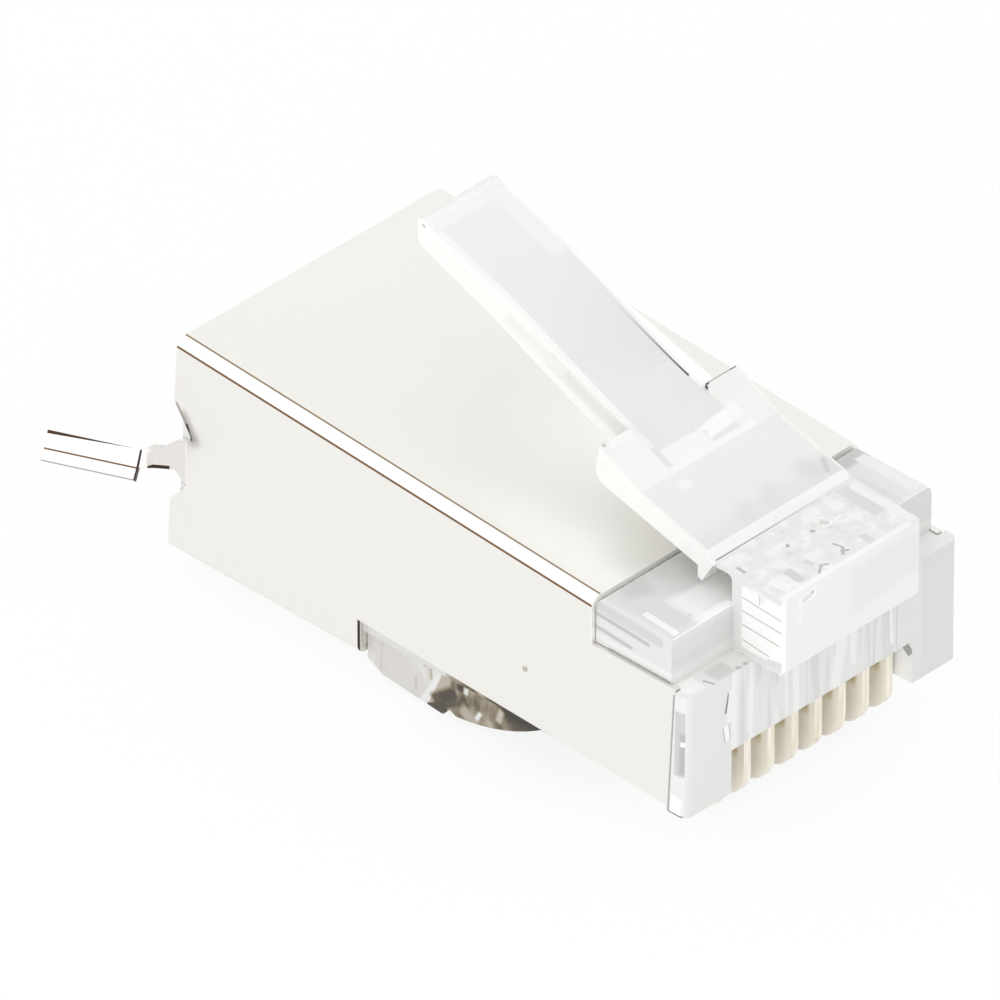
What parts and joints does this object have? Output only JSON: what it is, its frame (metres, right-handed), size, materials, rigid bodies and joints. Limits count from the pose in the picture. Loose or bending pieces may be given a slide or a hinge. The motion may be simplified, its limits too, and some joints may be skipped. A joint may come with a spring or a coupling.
{
  "type": "shielded ethernet plug",
  "caption": "Shielded modular network plug: clear moulded body with a snap latch, folded metal shield with a ground tail, and a row of gold blade contacts.",
  "frame": {"origin": "middle of the lower front edge of the nose, on the contact side", "axes": "+X across the plug, +Y from the nose to the cable entry, +Z from the contacts to the latch"},
  "size_m": [0.0141, 0.0258, 0.0139],
  "materials": {
    "clear_housing": "clear moulded polycarbonate",
    "clear_latch": "clear moulded polycarbonate",
    "nickel_shield": "nickel-plated sheet, smooth satin",
    "gold_contact": "gold-plated contact edge"
  },
  "bodies": {
    "plug": {"housing": "clear_housing", "shield": "nickel_shield", "contact_1": "gold_contact", "contact_2": "gold_contact", "contact_3": "gold_contact", "contact_4": "gold_contact", "contact_5": "gold_contact", "contact_6": "gold_contact", "contact_7": "gold_contact", "contact_8": "gold_contact"},
    "latch": {"latch_lever": "clear_latch"}
  },
  "joints": [
    {"name": "latch_hinge", "type": "hinge", "parent": "plug", "child": "latch", "pos_m": [0, 0.00168, 0.00701], "axis": [1, 0, 0], "range_deg": [-17, 0], "stiffness_Nm_per_rad": 0.2}
  ]
}
